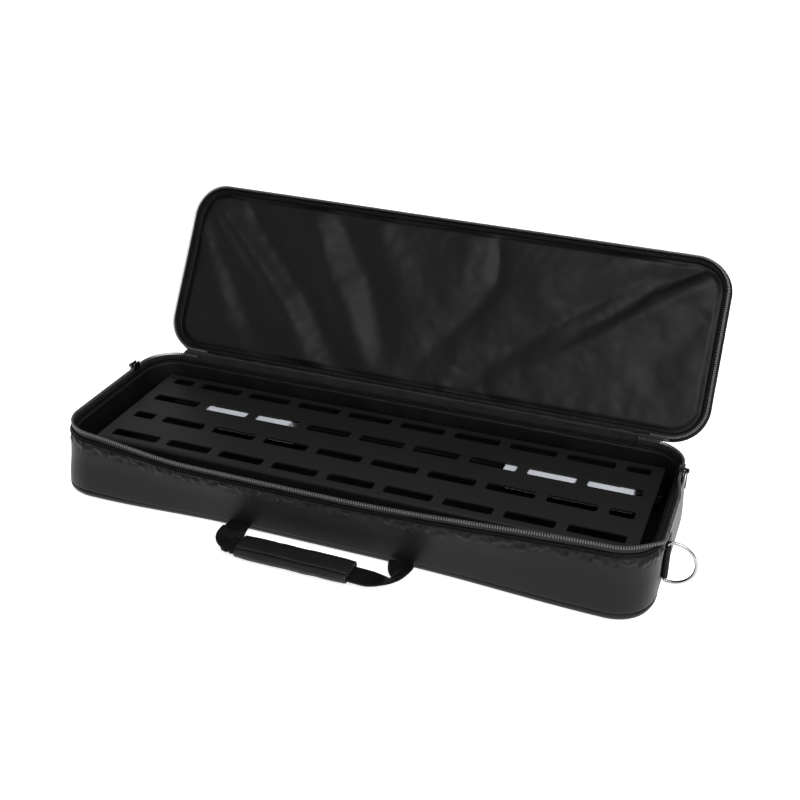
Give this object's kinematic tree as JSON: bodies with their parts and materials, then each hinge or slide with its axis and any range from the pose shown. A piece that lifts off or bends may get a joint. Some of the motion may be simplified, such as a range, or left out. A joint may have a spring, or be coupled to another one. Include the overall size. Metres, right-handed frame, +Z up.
{
  "type": "pedalboard",
  "caption": "Slotted steel pedalboard in a soft zip carrying case with a hinged lid, folding handle and strap rings.",
  "frame": {"origin": "centre of the case's flat underside", "axes": "+X along the length of the case to the right, +Y to the hinge at the back, +Z up"},
  "size_m": [0.7091, 0.4182, 0.2534],
  "materials": {
    "stiffener_board": "matt",
    "foam": "soft",
    "nylon_lining": "satin",
    "zipper_teeth": "satin",
    "webbing": "woven",
    "coated_fabric": "satin coated",
    "binding_fabric": "satin",
    "chrome_ring": "polished",
    "zipper_metal": "dark nickel",
    "black_steel": "satin powder coat",
    "foot_rubber": "matt",
    "bright_steel": "bright zinc",
    "fastener_steel": "zinc plated"
  },
  "bodies": {
    "case_base": {"base_bottom_skin": "coated_fabric", "base_floor_foam": "foam", "base_floor_lining": "nylon_lining", "base_rim_binding": "binding_fabric", "base_seam_piping": "binding_fabric", "base_stiffener": "stiffener_board", "base_wall_foam": "foam", "base_wall_lining": "nylon_lining", "base_wall_skin": "coated_fabric", "base_zipper_tape": "webbing", "base_zipper_teeth": "zipper_teeth", "d_ring_tab_left": "webbing", "d_ring_tab_right": "webbing", "handle_anchors": "webbing", "hinge_cord": "webbing", "hinge_panel_lower": "webbing"},
    "lid": {"hinge_panel_upper": "webbing", "lid_panel_foam": "foam", "lid_panel_lining": "nylon_lining", "lid_panel_skin": "coated_fabric", "lid_rim_binding": "binding_fabric", "lid_seam_piping": "binding_fabric", "lid_wall_foam": "foam", "lid_wall_lining": "nylon_lining", "lid_wall_skin": "coated_fabric", "lid_zipper_tape": "webbing", "lid_zipper_teeth": "zipper_teeth"},
    "board": {"deck": "black_steel", "rubber_feet": "foot_rubber", "foot_screws": "fastener_steel", "foot_nuts": "fastener_steel", "supply_tray_left": "bright_steel", "supply_tray_right": "bright_steel", "tray_studs": "fastener_steel", "tray_nuts": "fastener_steel"},
    "handle": {"handle_strap": "webbing", "grip_pad": "foam", "grip_cover": "binding_fabric"},
    "ring_left": {"d_ring_left": "chrome_ring"},
    "slider_left": {"zipper_slider_left": "zipper_metal"},
    "pull_left": {"zipper_pull_left": "zipper_metal"},
    "ring_right": {"d_ring_right": "chrome_ring"},
    "slider_right": {"zipper_slider_right": "zipper_metal"},
    "pull_right": {"zipper_pull_right": "zipper_metal"}
  },
  "joints": [
    {"name": "lid_hinge", "type": "hinge", "parent": "case_base", "child": "lid", "pos_m": [0, 0.1076, 0.0815], "axis": [1, 0, 0], "range_deg": [-48, 126]},
    {"name": "handle_fold", "type": "hinge", "parent": "case_base", "child": "handle", "pos_m": [0, -0.11, 0.0085], "axis": [-1, 0, 0], "range_deg": [0, 74]},
    {"name": "board_lift", "type": "slide", "parent": "case_base", "child": "board", "axis": [0, 0, 1], "range_m": [0, 0.25]},
    {"name": "ring_left_swing", "type": "hinge", "parent": "case_base", "child": "ring_left", "pos_m": [-0.3358, -0.048, 0.035], "axis": [0, 0, 1], "range_deg": [-5, 165]},
    {"name": "slider_left_run", "type": "slide", "parent": "case_base", "child": "slider_left", "axis": [0, -1, 0], "range_m": [0, 0.105]},
    {"name": "pull_left_swing", "type": "hinge", "parent": "slider_left", "child": "pull_left", "pos_m": [-0.3355, 0.0515, 0.0815], "axis": [0, 1, 0], "range_deg": [0, 140]},
    {"name": "ring_right_swing", "type": "hinge", "parent": "case_base", "child": "ring_right", "pos_m": [0.3358, -0.048, 0.035], "axis": [0, 0, 1], "range_deg": [-85, 85]},
    {"name": "slider_right_run", "type": "slide", "parent": "case_base", "child": "slider_right", "axis": [0, -1, 0], "range_m": [0, 0.105]},
    {"name": "pull_right_swing", "type": "hinge", "parent": "slider_right", "child": "pull_right", "pos_m": [0.3355, 0.0515, 0.0815], "axis": [0, -1, 0], "range_deg": [0, 140]}
  ]
}
